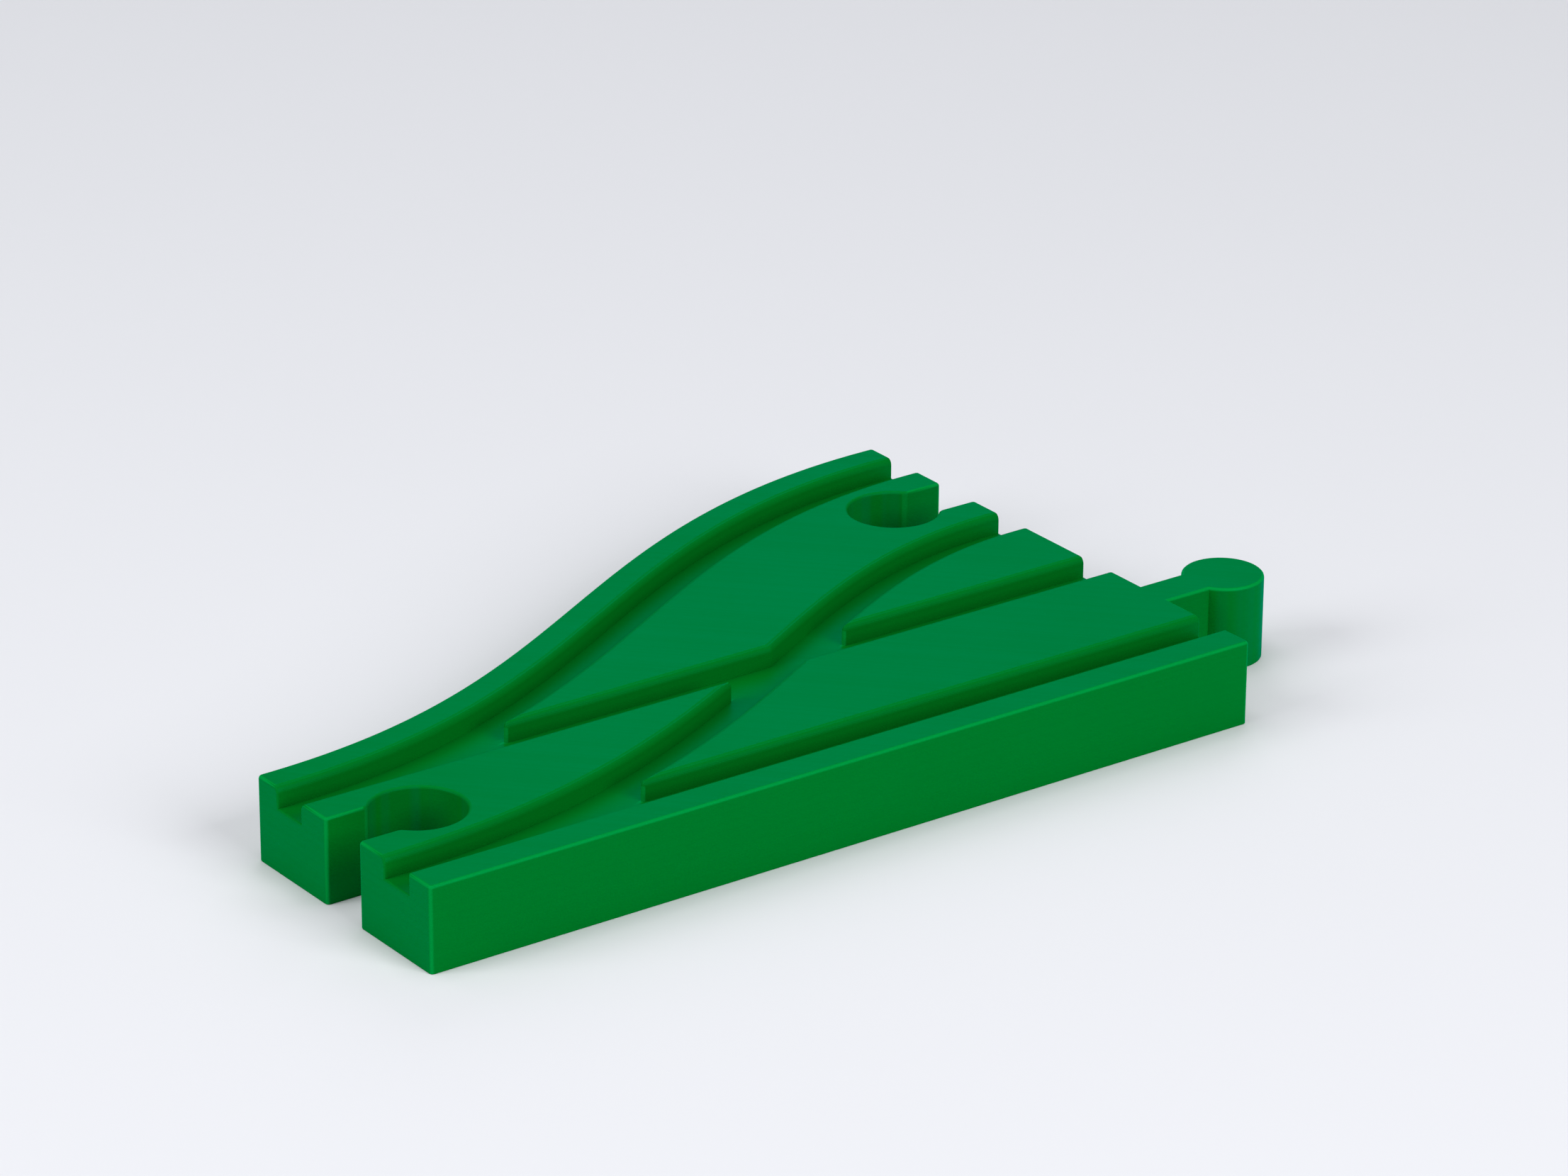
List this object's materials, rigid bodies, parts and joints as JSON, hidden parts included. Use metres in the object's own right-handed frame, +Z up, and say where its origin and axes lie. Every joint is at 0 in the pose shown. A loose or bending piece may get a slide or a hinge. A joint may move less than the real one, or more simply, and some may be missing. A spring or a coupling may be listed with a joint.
{
  "type": "toy railway turnout track",
  "caption": "Flat green track piece: a straight track and an S-shaped branch that comes out beside it, each a pair of wheel grooves, with a knob at one end and keyhole sockets at the others.",
  "frame": {"origin": "centre of the bounding box on the underside, the face that lies on the table", "axes": "+X runs along the straight track from its socket end to its knob end, +Y points across it towards the branch, +Z points up out of the wheel grooves"},
  "size_m": [0.147, 0.0838, 0.012],
  "materials": {
    "printed_green": "semi-gloss printed plastic with fine layer lines"
  },
  "bodies": {
    "root": {"track_body": "printed_green"}
  },
  "joints": []
}
